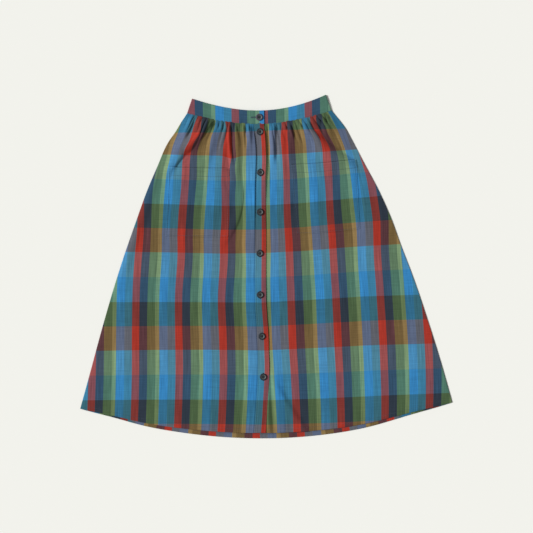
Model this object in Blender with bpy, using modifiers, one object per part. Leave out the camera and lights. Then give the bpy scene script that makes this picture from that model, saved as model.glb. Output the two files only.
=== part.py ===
"""A gathered skirt that buttons down the front, laid flat with its front up.

Sizes are in millimetres and are written to Blender in metres. In the tables x is
measured from the button line, positive to the viewer's right, and y upwards from
the middle of the back hem to the waist. z is up from the surface below the skirt.
Left and right in the names of the pieces are the wearer's.
"""

import math

import bpy
import numpy as np

MM = 0.001

# Cloth walls, and the clearance kept wherever two pieces meet or lie on each other
CLOTH_WALL = 1.2
POCKET_WALL = 1.0
BAND_WALL = 1.8
SEAM_GAP = 0.3

# Lengths on the centre line
FRONT_SEAM_Y = 769.0
FRONT_HEM_Y = 13.0
FRONT_LENGTH = FRONT_SEAM_Y - FRONT_HEM_Y
BACK_SEAM_Y = 764.0
BACK_HEM_Y = 0.0
BAND_TOP_Y = 802.0

# Where the waist seam, the band's top edge and the hem end at the sides
SIDE_SEAM_Y = 799.0
SIDE_HEM_Y = 80.0
BAND_TOP_LEFT_Y = 834.0
BAND_TOP_RIGHT_Y = 838.0
BAND_TOP_HALF_WIDTH = 164.0

# down from the waist seam, x of the side edge on the viewer's left, and on the right
SIDE_EDGE = (
    (0, 176, 177),
    (20, 190, 193.5),
    (44, 205, 211),
    (69, 223, 224),
    (130, 252, 254.5),
    (191, 279, 286),
    (265, 307, 318),
    (338, 334, 343),
    (402, 356, 366.5),
    (517, 392, 403.5),
    (650, 430.5, 442),
    (719, 451, 460),
)

# down from the waist seam, x of the upper placket's stitched side, x of its free edge
PLACKET = (
    (0, -14, 11),
    (50, -9, 14),
    (161, -12, 12),
    (300, -15, 11),
    (434, -18, 9),
    (529, -14, 13),
    (620, -15, 13),
    (676, -19, 9),
    (758, -26, 2),
)
PLACKET_WIDTH = 25.0
PLACKET_COLUMNS = 4
UNDERLAP_HIDDEN = 3.0
# share across the skirt where the back's gathers are measured under the plackets
PLACKET_SHARE = 0.05
# from the upper placket's seam, where its front comes down onto the back
LAP_SLOPE = (17.0, 42.0)

# The whole part is moved so that its outline is centred on the origin
BUTTON_LINE_X = (SIDE_EDGE[-1][1] - SIDE_EDGE[-1][2]) / 2
MIDDLE_Y = (BACK_HEM_Y + BAND_TOP_RIGHT_Y) / 2

# x of each gather's valley at the waist seam, height of the next ridge, its length
GATHERS_RIGHT = (
    (14, 2.6, 30),
    (34, 3.0, 30),
    (47, 3.3, 40),
    (60, 2.6, 52),
    (75, 3.6, 46),
    (86, 2.8, 30),
    (97, 2.2, 24),
    (109, 2.9, 36),
    (119, 3.4, 48),
    (128, 3.8, 54),
    (138, 2.7, 36),
    (147, 3.0, 42),
    (157, 2.3, 34),
    (167, 1.8, 30),
)
GATHERS_LEFT = (
    (8, 1.4, 26),
    (19, 2.8, 44),
    (31, 3.3, 50),
    (42, 2.4, 30),
    (53, 2.9, 26),
    (63, 3.4, 38),
    (75, 3.8, 50),
    (86, 2.6, 30),
    (97, 3.0, 34),
    (107, 3.7, 54),
    (119, 2.5, 40),
    (130, 3.1, 44),
    (141, 2.8, 36),
    (152, 2.3, 32),
    (165, 1.9, 30),
)
GATHER_ROUNDNESS = 0.65
# share of a front's width, and distances from its inner edge, over which the folds rise
SIDE_FADE = (0.0, 0.12)
INNER_FADE = (4.0, 16.0)
BACK_GATHERS = 28
BACK_RIDGE = 1.7
BACK_RIDGE_LENGTH = 46.0
BACK_SIDE_FADE = (0.0, 0.1)
BACK_ROOM_LENGTH = 1.25 * BACK_RIDGE_LENGTH
# mean share, its swing, and the phase: a step for each gather, and a start
BACK_HEIGHT_SWING = (0.78, 0.22, 2.4, 0.6)
BACK_LENGTH_SWING = (0.75, 0.25, 1.7, 2.0)
SEAM_SQUEEZE = 0.35
SQUEEZE_LENGTH = 14.0
PUFF = 3.0
PUFF_RISE = 24.0
PUFF_LENGTH = 95.0

# start down, end down, x at its start, middle and end, height, width to its left and right
CREASES_RIGHT = (
    (-6, 90, -120, -141, -178, 6.4, 19, 12),
    (-6, 108, -108, -142, -186, -2.8, 7, 9),
    (-6, 92, -77, -77, -75, 2.2, 12, 6),
    (-6, 94, -67, -67, -63, -2.6, 6, 6),
    (40, 250, -100, -114, -128, 1.4, 16, 16),
    (120, 430, -205, -252, -300, 1.2, 24, 24),
    (420, 700, -120, -135, -150, 0.9, 26, 26),
    (470, 690, -300, -325, -350, 0.9, 28, 28),
    (330, 640, -45, -52, -60, 0.8, 16, 16),
)
CREASES_LEFT = (
    (-6, 100, 102, 133, 177, 6.6, 22, 13),
    (-6, 100, 116, 148, 193, -2.8, 7, 10),
    (-4, 98, 33, 33, 33, 2.2, 9, 6),
    (0, 90, 42, 42, 42, -2.4, 6, 6),
    (60, 280, 120, 130, 140, 1.4, 16, 16),
    (130, 430, 210, 255, 300, 1.2, 24, 24),
    (600, 758, 22, 47, 90, 2.2, 20, 16),
    (420, 700, 150, 170, 190, 0.9, 26, 26),
    (470, 690, 320, 342, 365, 0.9, 28, 28),
)
CREASE_STARTS = (-0.1, 0.2)
CREASE_FADES = (-0.1, 0.3)

# Rows of points down a panel, as shares of its length: the gathers need them close
GATHER_ROWS = (0.0, 0.008, 0.018, 0.03, 0.044, 0.06, 0.08, 0.104)
LOWER_ROWS = (0.13, 0.15, 0.19, 0.27, 0.36, 0.46, 0.57, 0.68, 0.79, 0.895, 1.0)
POINTS_IN_GATHER = 4
SHARE_ROUNDS = 12

# inner x, inner y, outer x, outer y of each pocket's mouth and of its bottom
POCKET_RIGHT_TOP = (-76, 662, -223, 668)
POCKET_RIGHT_BOTTOM = (-81, 494, -234, 498)
POCKET_LEFT_TOP = (76, 668, 236, 678)
POCKET_LEFT_BOTTOM = (86, 498, 242, 508)
POCKET_CELLS = (14, 12)
POCKET_GAP = 1.5 * SEAM_GAP

BUTTON_DIAMETER = 17.0
BUTTON_STEPS = 20
# share of the button's radius, and height
BUTTON_PROFILE = ((0, 1.6), (0.59, 1.6), (0.74, 2.6), (0.91, 2.4), (1, 1.3), (0.87, 0), (0, 0))
THREAD_HOLE_RADIUS = 0.85
THREAD_HOLE_SPACING = 3.3
THREAD_HOLE_SIDES = 8
THREAD_HOLE_LEVELS = (-1.0, 4.0)
TURNING_MERGE = 0.05

# down from the waist seam, and how far each button sits to the right of the placket's middle
BUTTONS = (
    (19, 0.8),
    (118.5, -1.3),
    (215.5, -1.2),
    (316.5, -2.2),
    (418, -0.9),
    (519.5, -2.3),
    (619, -0.5),
)

BAND_OVERLAP_END = 12.0
BAND_UNDERLAP_END = -13.0
BAND_RAMP = (-16.0, -28.0)
BAND_STATIONS = 11
BAND_BACK_STATIONS = 23
BAND_TURN_STEPS = 4
BAND_OVERLAP_STATIONS = 5
BAND_HEIGHTS = (0.0, 0.5, 1.0)

MADRAS_COLOUR = (0.09, 0.17, 0.24)
MADRAS_ROUGHNESS = 0.85
BUTTON_COLOUR = (0.015, 0.014, 0.022)
BUTTON_ROUGHNESS = 0.35


def ease(value, start, end):
    """Rises smoothly from 0 at start to 1 at end."""
    share = np.clip((np.asarray(value, float) - start) / (end - start), 0, 1)
    return share * share * (3 - 2 * share)


def smooth_column(table, column, down):
    """One column of a table, joined by a smooth curve and read at distances down."""
    rows = np.array(table, float)
    knots = rows[:, 0]
    values = rows[:, column]
    slopes = np.gradient(values, knots)
    place = np.clip(np.asarray(down, float), knots[0], knots[-1])
    cell = np.clip(np.searchsorted(knots, place, side="right") - 1, 0, len(knots) - 2)
    width = knots[cell + 1] - knots[cell]
    f = (place - knots[cell]) / width
    start = (1 + 2 * f) * (1 - f) ** 2 * values[cell] + f * (1 - f) ** 2 * width * slopes[cell]
    end = f * f * (3 - 2 * f) * values[cell + 1] + f * f * (f - 1) * width * slopes[cell + 1]
    return start + end


def half_width(side, t):
    """Distance from the button line to the side edge, a share t down the panel."""
    return smooth_column(SIDE_EDGE, 1 if side < 0 else 2, np.asarray(t) * SIDE_EDGE[-1][0])


def lay_out(side, x, t, seam_y, hem_y):
    """y of points at x, a share t down a panel: rows bow up to the side edge."""
    seam_rise = SIDE_SEAM_Y - seam_y
    hem_rise = SIDE_HEM_Y - hem_y
    across = np.abs(x) / half_width(side, t)
    middle = seam_y - SEAM_GAP + (hem_y - seam_y + SEAM_GAP) * t
    return middle + (seam_rise + (hem_rise - seam_rise) * t) * across ** 2


def share_down(side, x, y):
    """Finds how far down the front panel the points at x and y are."""
    t = (FRONT_SEAM_Y - y) / FRONT_LENGTH
    for _ in range(SHARE_ROUNDS):
        t = t + (lay_out(side, x, t, FRONT_SEAM_Y, FRONT_HEM_Y) - y) / FRONT_LENGTH
    return t


def front_edge(side, t):
    """x of a front's inner edge, where its placket is joined on."""
    down = np.asarray(t) * FRONT_LENGTH
    if side < 0:
        return smooth_column(PLACKET, 1, down) - SEAM_GAP
    return smooth_column(PLACKET, 2, down) - UNDERLAP_HIDDEN


def squeezed(down):
    """Gathers are pressed together in the waist seam and spring up below it."""
    return SEAM_SQUEEZE + (1 - SEAM_SQUEEZE) * ease(down, 0, SQUEEZE_LENGTH)


def back_clearance(across, t):
    """Room that the back's gathers need below the front."""
    down = t * FRONT_LENGTH
    fade = squeezed(down) * np.exp(-(down / BACK_ROOM_LENGTH) ** 2)
    return BACK_RIDGE * ease(1 - across, *BACK_SIDE_FADE) * fade


def crease_height(creases, x, down):
    """Sum of a table's ridges and valleys, each along a parabola through its three x."""
    total = np.zeros(np.broadcast(x, down).shape)
    for first, last, start_x, middle_x, end_x, height, left, right in creases:
        s = np.clip((down - first) / (last - first), CREASE_STARTS[0], 1 - CREASE_FADES[0])
        shares = (2 * s * s - 3 * s + 1, 4 * s - 4 * s * s, 2 * s * s - s)
        line = start_x * shares[0] + middle_x * shares[1] + end_x * shares[2]
        off = (x - line) / np.where(x < line, left, right)
        ends = ease(s, *CREASE_STARTS) * ease(1 - s, *CREASE_FADES)
        total += height * ends * np.exp(-off ** 2)
    return total


def front_height(side, x, t):
    """Height of a front's underside above the surface."""
    gathers = np.array(GATHERS_RIGHT if side < 0 else GATHERS_LEFT, float)
    creases = CREASES_RIGHT if side < 0 else CREASES_LEFT
    down = t * FRONT_LENGTH
    inner = front_edge(side, t)
    outer = side * half_width(side, t)
    share = (x - inner) / (outer - inner)
    from_inner = np.abs(x - inner)
    count = np.interp(share, gather_valleys(side), np.arange(len(gathers) + 1))
    number = np.clip(count.astype(int), 0, len(gathers) - 1)
    dome = np.sin(np.pi * np.clip(count - number, 0, 1)) ** GATHER_ROUNDNESS
    ridge = gathers[number, 1] * dome * np.exp(-(down / gathers[number, 2]) ** 2)
    puff = PUFF * ease(down, 0, PUFF_RISE) * np.exp(-(down / PUFF_LENGTH) ** 2)
    fade = ease(1 - share, *SIDE_FADE) * ease(from_inner, *INNER_FADE)
    folds = (ridge + crease_height(creases, x, down)) * squeezed(down)
    loose = np.maximum(folds + puff, 0) * fade
    base = CLOTH_WALL + SEAM_GAP + back_clearance(np.abs(x) / half_width(side, t), t)
    step = 0
    if side < 0:
        step = (CLOTH_WALL + SEAM_GAP) * (1 - ease(from_inner, *LAP_SLOPE))
    return base + loose + step


def gather_valleys(side):
    """Shares across a front, from its inner edge, where the gathers' valleys lie."""
    gathers = GATHERS_RIGHT if side < 0 else GATHERS_LEFT
    inner = abs(float(front_edge(side, 0.0)))
    outer = float(half_width(side, 0.0))
    valleys = (np.append([gather[0] for gather in gathers], outer) - inner) / (outer - inner)
    valleys[0] = 0
    return valleys


def swing(number, mean, size, step, start):
    """A share that differs from one gather to the next."""
    return mean + size * np.sin(step * number + start)


def back_height(share, down):
    """Height of the back's underside: flat on the surface, with narrow ridges at the waist."""
    count = share * BACK_GATHERS
    number = np.clip(count.astype(int), 0, BACK_GATHERS - 1)
    dome = np.sin(np.pi * np.clip(count - number, 0, 1)) ** GATHER_ROUNDNESS
    uneven = swing(number, *BACK_HEIGHT_SWING)
    length = BACK_RIDGE_LENGTH * swing(number, *BACK_LENGTH_SWING)
    sides = ease(1 - np.abs(2 * share - 1), *BACK_SIDE_FADE)
    fade = squeezed(down) * np.exp(-(down / length) ** 2)
    return BACK_RIDGE * uneven * (1 - dome) * sides * fade


def material(name, colour, roughness):
    made = bpy.data.materials.new(name)
    made.use_nodes = True
    shader = made.node_tree.nodes["Principled BSDF"]
    shader.inputs["Base Color"].default_value = (*colour, 1)
    shader.inputs["Roughness"].default_value = roughness
    shader.inputs["Metallic"].default_value = 0
    return made


def add_object(name, vertices, faces, finish, smooth=True, home=None):
    """Makes a named object of points in millimetres."""
    mesh = bpy.data.meshes.new(name)
    mesh.from_pydata((np.asarray(vertices, float) * MM).tolist(), [], faces)
    mesh.polygons.foreach_set("use_smooth", [smooth] * len(mesh.polygons))
    if finish:
        mesh.materials.append(finish)
    made = bpy.data.objects.new(name, mesh)
    (home or pieces).objects.link(made)
    return made


def grid_faces(rows, columns, first=0):
    """Faces of a grid whose rows run down the cloth and whose columns run to +x."""
    numbers = first + np.arange(rows * columns).reshape(rows, columns)
    corners = (numbers[:-1, :-1], numbers[1:, :-1], numbers[1:, 1:], numbers[:-1, 1:])
    return np.stack(corners, -1).reshape(-1, 4).tolist()


def placed(x, y, z):
    """Points of a grid, moved from the button line's frame to the part's."""
    return np.stack(np.broadcast_arrays(x + BUTTON_LINE_X, y - MIDDLE_Y, z), -1).reshape(-1, 3)


def add_wall(made, thickness, offset=1):
    """Gives an open surface its cloth wall; offset 1 puts the wall above the surface."""
    wall = made.modifiers.new("cloth wall", "SOLIDIFY")
    wall.thickness = thickness * MM
    wall.offset = offset
    wall.use_even_offset = True
    wall.use_rim = True
    return made


def add_panel(name, upper, lower, finish):
    """Loft of two grids: the lower one has a point for every second of the upper's."""
    rows, columns = upper.shape[:2]
    small = lower.shape[1]
    start = rows * columns
    faces = grid_faces(rows, columns) + grid_faces(lower.shape[0], small, start)
    last = (rows - 1) * columns
    for k in range(small - 1):
        top = last + 2 * k
        faces.append([top, start + k, start + k + 1, top + 2, top + 1])
    points = np.concatenate([upper.reshape(-1, 3), lower.reshape(-1, 3)])
    return add_wall(add_object(name, points, faces, finish), CLOTH_WALL)


def add_front(name, side, finish):
    """One front, gathered at the waist and cut wider to the hem."""
    valleys = gather_valleys(side)
    steps = np.arange((len(valleys) - 1) * POINTS_IN_GATHER + 1) / POINTS_IN_GATHER
    shares = np.interp(steps, np.arange(len(valleys)), valleys)
    grids = []
    for rows, used in ((GATHER_ROWS, shares), (LOWER_ROWS, shares[::2])):
        used = used[::-1] if side < 0 else used
        t = np.array(rows)[:, None]
        edge = front_edge(side, t)
        x = edge + (side * half_width(side, t) - edge) * used[None, :]
        y = lay_out(side, x, t, FRONT_SEAM_Y, FRONT_HEM_Y)
        z = front_height(side, x, t + 0 * x)
        grids.append(placed(x, y, z).reshape(len(rows), len(used), 3))
    return add_panel(name, grids[0], grids[1], finish)


def add_back(name, finish):
    """The one-piece back, lying on the surface."""
    steps = np.arange(BACK_GATHERS * POINTS_IN_GATHER + 1) / (BACK_GATHERS * POINTS_IN_GATHER)
    grids = []
    for rows, share in ((GATHER_ROWS, steps), (LOWER_ROWS, steps[::2])):
        t = np.array(rows)[:, None]
        reach = 2 * share[None, :] - 1
        x = np.where(reach < 0, half_width(-1, t), half_width(1, t)) * reach
        y = np.where(
            reach < 0,
            lay_out(-1, x, t, BACK_SEAM_Y, BACK_HEM_Y),
            lay_out(1, x, t, BACK_SEAM_Y, BACK_HEM_Y),
        )
        z = back_height(share[None, :] + 0 * t, t * (BACK_SEAM_Y - BACK_HEM_Y))
        grids.append(placed(x, y, z).reshape(len(rows), len(share), 3))
    return add_panel(name, grids[0], grids[1], finish)


def placket_level(t):
    """Height of the surface under the button line, where the lower placket lies."""
    return CLOTH_WALL + SEAM_GAP + back_clearance(PLACKET_SHARE, t)


def add_placket(name, upper, finish):
    """A straight band along a front's edge; the upper one has the buttonholes."""
    t = np.array(GATHER_ROWS + LOWER_ROWS)[:, None]
    down = t * FRONT_LENGTH
    share = np.linspace(0, 1, PLACKET_COLUMNS)[None, :]
    if upper:
        left = smooth_column(PLACKET, 1, down)
        right = smooth_column(PLACKET, 2, down)
        z = placket_level(t) + CLOTH_WALL + SEAM_GAP
    else:
        right = front_edge(1, t) - SEAM_GAP
        left = right - PLACKET_WIDTH
        z = placket_level(t)
    x = left + (right - left) * share
    y = lay_out(1, x, t, FRONT_SEAM_Y, FRONT_HEM_Y)
    points = placed(x, y, z + 0 * x)
    faces = grid_faces(len(t), PLACKET_COLUMNS)
    return add_wall(add_object(name, points, faces, finish), CLOTH_WALL)


def add_pocket(name, side, top, bottom, finish):
    """A patch pocket: points of the front, moved out by the front's wall."""
    columns, rows = POCKET_CELLS
    across = np.linspace(0, 1, columns + 1)[None, :]
    down = np.linspace(0, 1, rows + 1)[:, None]
    if side < 0:
        across = across[:, ::-1]
    upper_x = top[0] + (top[2] - top[0]) * across
    upper_y = top[1] + (top[3] - top[1]) * across ** 2
    lower_x = bottom[0] + (bottom[2] - bottom[0]) * across
    lower_y = bottom[1] + (bottom[3] - bottom[1]) * across ** 2
    x = upper_x + (lower_x - upper_x) * down
    y = upper_y + (lower_y - upper_y) * down
    z = front_height(side, x, share_down(side, x, y)) + CLOTH_WALL + POCKET_GAP
    faces = grid_faces(rows + 1, columns + 1)
    return add_wall(add_object(name, placed(x, y, z), faces, finish), POCKET_WALL)


def band_path(height):
    """x, z and layer along the band, a share up it: over the front, round, and back."""
    low = BAND_WALL / 2
    high = 1.5 * BAND_WALL + SEAM_GAP
    over = 2.5 * BAND_WALL + 2 * SEAM_GAP
    turn = (high - low) / 2
    half = (1 - height) * SIDE_EDGE[0][1] + height * BAND_TOP_HALF_WIDTH
    flat_end = half - turn - BAND_WALL / 2
    lap = np.linspace(BAND_OVERLAP_END, BAND_RAMP[0], BAND_OVERLAP_STATIONS)
    path = [(x, over, "front") for x in lap]
    path.append((sum(BAND_RAMP) / 2, (over + high) / 2, "front"))
    path += [(x, high, "front") for x in np.linspace(BAND_RAMP[1], -flat_end, BAND_STATIONS)]
    angles = np.linspace(0, math.pi, BAND_TURN_STEPS + 1)[1:-1]
    for angle in angles:
        turn_x = -flat_end - turn * math.sin(angle)
        path.append((turn_x, low + turn + turn * math.cos(angle), "front"))
    path += [(x, low, "back") for x in np.linspace(-flat_end, flat_end, BAND_BACK_STATIONS)]
    for angle in angles[::-1]:
        turn_x = flat_end + turn * math.sin(angle)
        path.append((turn_x, low + turn + turn * math.cos(angle), "front"))
    path += [(x, high, "front") for x in np.linspace(flat_end, BAND_UNDERLAP_END, BAND_STATIONS + 2)]
    return path, half


def add_band(name, finish):
    """The waistband, one strip laid double, its ends lapped at the button line."""
    rows = []
    for height in BAND_HEIGHTS:
        path, half = band_path(height)
        row = []
        for x, z, layer in path:
            reach = min(abs(x) / half, 1) ** 2
            lower = FRONT_SEAM_Y + (SIDE_SEAM_Y - FRONT_SEAM_Y) * reach
            corner = BAND_TOP_LEFT_Y if x < 0 else BAND_TOP_RIGHT_Y
            upper = BAND_TOP_Y + (corner - BAND_TOP_Y) * reach
            drop = (FRONT_SEAM_Y - BACK_SEAM_Y) * (1 - reach) if layer == "back" else 0
            row.append((x, lower + (upper - lower) * height - drop, z))
        rows.append(row)
    grid = np.array(rows)[::-1, ::-1]
    points = placed(grid[..., 0], grid[..., 1], grid[..., 2])
    made = add_object(name, points, grid_faces(len(BAND_HEIGHTS), grid.shape[1]), finish)
    return add_wall(made, BAND_WALL, 0)


def add_button(name, x, y, z, finish, hole_finish):
    """A turned button with four holes for its thread."""
    mesh = bpy.data.meshes.new(name)
    points = [(r * BUTTON_DIAMETER / 2 * MM, 0, h * MM) for r, h in BUTTON_PROFILE]
    mesh.from_pydata(points, [(k, k + 1) for k in range(len(points) - 1)], [])
    mesh.materials.append(finish)
    made = bpy.data.objects.new(name, mesh)
    pieces.objects.link(made)
    made.location = ((x + BUTTON_LINE_X) * MM, (y - MIDDLE_Y) * MM, z * MM)
    turn = made.modifiers.new("turned", "SCREW")
    turn.angle = 2 * math.pi
    turn.steps = BUTTON_STEPS
    turn.render_steps = BUTTON_STEPS
    turn.use_merge_vertices = True
    turn.merge_threshold = TURNING_MERGE * MM
    turn.use_smooth_shade = True
    points, faces = hole_pins()
    cutter = add_object(name + "_thread_holes", points, faces, hole_finish, False, cutters)
    cutter.location = made.location
    cutter.hide_render = True
    cutter.display_type = "WIRE"
    holes = made.modifiers.new("thread holes", "BOOLEAN")
    holes.operation = "DIFFERENCE"
    holes.solver = "EXACT"
    holes.object = cutter
    return made


def hole_pins():
    """Points and faces of the four pins that bore a button's holes."""
    sides = THREAD_HOLE_SIDES
    offset = THREAD_HOLE_SPACING / 2
    points = []
    faces = []
    for across, along in ((-offset, -offset), (offset, -offset), (-offset, offset), (offset, offset)):
        first = len(points)
        for level in THREAD_HOLE_LEVELS:
            for k in range(sides):
                angle = 2 * math.pi * (k + 0.5) / sides
                bore_x = across + math.cos(angle) * THREAD_HOLE_RADIUS
                bore_y = along + math.sin(angle) * THREAD_HOLE_RADIUS
                points.append((bore_x, bore_y, level))
        faces.append([first + k for k in reversed(range(sides))])
        faces.append([first + sides + k for k in range(sides)])
        for k in range(sides):
            after = (k + 1) % sides
            faces.append([first + k, first + after, first + sides + after, first + sides + k])
    return points, faces


for old in list(bpy.data.objects):
    bpy.data.objects.remove(old, do_unlink=True)

pieces = bpy.data.collections.new("button_front_skirt")
cutters = bpy.data.collections.new("cutters")
bpy.context.scene.collection.children.link(pieces)
bpy.context.scene.collection.children.link(cutters)
cutters.hide_render = True

madras = material("madras cotton", MADRAS_COLOUR, MADRAS_ROUGHNESS)
button_plastic = material("dark button plastic", BUTTON_COLOUR, BUTTON_ROUGHNESS)

add_back("back", madras)
add_front("front_left", 1, madras)
add_front("front_right", -1, madras)
add_placket("placket_left", False, madras)
add_placket("placket_right", True, madras)
add_band("waistband", madras)
add_pocket("pocket_right", -1, POCKET_RIGHT_TOP, POCKET_RIGHT_BOTTOM, madras)
add_pocket("pocket_left", 1, POCKET_LEFT_TOP, POCKET_LEFT_BOTTOM, madras)

band_top = 3 * BAND_WALL + 2 * SEAM_GAP
band_middle = (FRONT_SEAM_Y + BAND_TOP_Y) / 2
add_button("button_1", 0, band_middle, band_top + SEAM_GAP, button_plastic, madras)
for number, (button_down, aside) in enumerate(BUTTONS, 2):
    button_t = button_down / FRONT_LENGTH
    sides = [float(smooth_column(PLACKET, column, button_down)) for column in (1, 2)]
    add_button(
        "button_%d" % number,
        sum(sides) / 2 + aside,
        FRONT_SEAM_Y - button_down,
        float(placket_level(button_t)) + 2 * CLOTH_WALL + 2 * SEAM_GAP,
        button_plastic,
        madras,
    )
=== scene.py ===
import math

import bpy
import numpy as np
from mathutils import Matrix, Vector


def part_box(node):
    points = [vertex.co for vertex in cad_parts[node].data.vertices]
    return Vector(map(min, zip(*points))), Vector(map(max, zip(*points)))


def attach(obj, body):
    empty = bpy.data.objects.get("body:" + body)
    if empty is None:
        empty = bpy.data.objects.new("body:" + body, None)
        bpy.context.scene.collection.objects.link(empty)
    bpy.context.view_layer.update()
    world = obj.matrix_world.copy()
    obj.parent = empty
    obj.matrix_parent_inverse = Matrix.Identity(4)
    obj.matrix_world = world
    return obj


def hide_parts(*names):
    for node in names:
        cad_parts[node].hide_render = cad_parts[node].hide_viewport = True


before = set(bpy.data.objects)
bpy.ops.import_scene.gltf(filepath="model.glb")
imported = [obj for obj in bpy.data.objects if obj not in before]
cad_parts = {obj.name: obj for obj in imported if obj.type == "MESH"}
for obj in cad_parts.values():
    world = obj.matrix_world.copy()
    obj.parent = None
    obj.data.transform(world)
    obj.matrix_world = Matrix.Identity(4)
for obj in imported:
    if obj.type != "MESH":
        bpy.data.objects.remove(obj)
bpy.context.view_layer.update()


# Back. One width of madras cotton, woven with dyed warp and weft, gathered at the
# waist and pressed flat by lying on the surface. Its hem is turned up on the inside
# and sewn, and that turning is the strip that shows below the front's hem.

# Lengths are in mm, from the button line (x), the back hem's middle (y) and the floor.
BUTTON_LINE = sum(corner[0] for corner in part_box("button_1")) / 2
HEM_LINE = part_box("back")[0][1]
CLOTH = 0.4
WALL = 1.2
SEAM_GAP = 0.3
BACK_SEAM_Y = 764.0
BACK_HEM_Y = 0.0
SIDE_SEAM_Y = 799.0
SIDE_HEM_Y = 80.0
HEM_TURNING = 11.0
HEM_BEND = 0.4
ABOVE_SEAM = 0.0025

# down from the waist seam, x of the side edge on the viewer's left, and on the right
SIDE_EDGE = (
    (0, 176, 177),
    (20, 190, 193.5),
    (44, 205, 211),
    (69, 223, 224),
    (130, 252, 254.5),
    (191, 279, 286),
    (265, 307, 318),
    (338, 334, 343),
    (402, 356, 366.5),
    (517, 392, 403.5),
    (650, 430.5, 442),
    (719, 451, 460),
)

# x, and how far the hem's outline stands up there from an even curve
HEM_RISE = (
    (-451, 0), (-366, 3.4), (-293, 1.2), (-200, 1.2), (-60, 0.4),
    (110, -1.2), (240, -1.2), (361, 3.2), (460, -0.4),
)

# The check: repeats across (108 mm) and down (240 mm), with the share where each
# stripe starts. A cell shows its warp stripe's colour, shaded by the weft over it,
# and the weft's own colour in the gaps between.
WARP_REPEAT = 108.0
WEFT_REPEAT = 239.8
FIRST_WEFT_Y = 752.6
WARP_STRIPES = (
    ("red", 0.0, "#983C34"),
    ("navy", 0.085, "#343F50"),
    ("green", 0.266, "#58704C"),
    ("light green", 0.457, "#7A9064"),
    ("blue", 0.55, "#3A80B0"),
    ("teal", 0.74, "#407890"),
    ("red again", 0.915, "#983C34"),
)
WEFT_SHADES = (
    ("red", 0.0, "#FFC8B8"),
    ("pale blue", 0.243, "#F4FFFA"),
    ("blue", 0.498, "#D4F0FF"),
    ("dark", 0.752, "#D0D4C8"),
)
WEFT_STRIPES = (
    ("red", 0.0, "#441004"),
    ("pale blue", 0.243, "#282E38"),
    ("blue", 0.498, "#103040"),
    ("dark", 0.752, "#04040F"),
)
CLOTH_BRIGHTNESS = 0.93

# height on the skirt, then how far the weft bows up there at each third of the way
# from the viewer's left edge to the button line, and on to the right edge
WEFT_RISE = (
    (40, 9, 7, 4, 0, 1, 6, 11),
    (160, 7, 7, 5, 1, 4, 8, 10),
    (280, 7, 6, 4, 0, 5, 10, 11),
    (400, 8, 5, 1, 0, 4, 11, 14),
    (520, 8, 4, -1, -2, 2, 10, 16),
    (640, 7, 2, -1, -2, 1, 7, 15),
    (700, 5, 1, -1, -2, 1, 4, 10),
    (760, -2, -4, -2, -1, 0, 0, 1),
)
# the same for how far the warp stripes drift to the right of an even spread
WARP_DRIFT = (
    (40, 1, 0, -2, 0, 0, -1, 0),
    (160, 4, 0, -3, -2, 0, 0, 1),
    (280, 5, -1, -4, -2, 2, 3, 3),
    (400, 4, 0, -2, -1, 2, 2, 2),
    (520, 4, 0, -1, -1, 0, -1, -6),
    (580, 5, 0, -1, -1, 0, -2, -10),
    (650, 2, 0, 0, 0, 0, -1, -3),
    (760, -1, 0, 0, 0, -1, -1, -2),
)

# down from the waist seam, and repeats of cloth from the middle to the side edge
BACK_CLOTH = ((0, 2.25), (91, 2.5), (213, 2.72), (360, 3.2), (719, 4.18))
BACK_RED_STRIPE_X = -21.0
BACK_GATHERS = 28
BACK_RIDGE = 1.7
BACK_RIDGE_LENGTH = 46.0
BACK_ROOM_LENGTH = 1.25 * BACK_RIDGE_LENGTH
BACK_ROUNDNESS = 0.6
BACK_WANDER = 0.12
BACK_CRINKLE = 0.16
BACK_SEAM_LEVEL = 0.9
SIDE_FADE = 0.3
# mean share, its swing, and the phase: a step for each gather, and a start
BACK_HEIGHT_SWING = (0.78, 0.22, 2.4, 0.6)
BACK_LENGTH_SWING = (0.75, 0.25, 1.7, 2.0)
SEAM_SQUEEZE = 0.35
SQUEEZE_LENGTH = 16.0
MM = 0.001

# Uneven yarns. Each row is the noise's scale across and along in repeats, and its
# detail, then the least and the most that it takes of the colour's brightness: 1.3 mm
# lines down the warp, fainter 1.8 mm lines along the weft, and broad soft bands.
YARN_LINES = (
    ((83, 3.2, 1), 3.0, 0.76, 1.24),
    ((2.4, 133, 1), 3.0, 0.89, 1.11),
    ((26, 1.4, 1), 1.0, 0.93, 1.07),
)


def ease(value, start, end):
    """A smooth step: 0 before start, 1 after end, 3s^2 - 2s^3 between."""
    share = np.clip((np.asarray(value, float) - start) / (end - start), 0, 1)
    return share * share * (3 - 2 * share)


def through(table, column, place):
    """A cubic curve through a table's rows, with slopes from each row's neighbours."""
    rows = np.array([[row[0], row[column]] for row in table], float)
    knots, values = rows[:, 0], rows[:, 1]
    slopes = np.gradient(values, knots)
    place = np.clip(np.asarray(place, float), knots[0], knots[-1])
    cell = np.clip(np.searchsorted(knots, place, side="right") - 1, 0, len(knots) - 2)
    width = knots[cell + 1] - knots[cell]
    f = (place - knots[cell]) / width
    start = (1 + 2 * f) * (1 - f) ** 2 * values[cell] + f * (1 - f) ** 2 * width * slopes[cell]
    end = f * f * (3 - 2 * f) * values[cell + 1] + f * f * (f - 1) * width * slopes[cell + 1]
    return start + end


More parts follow.
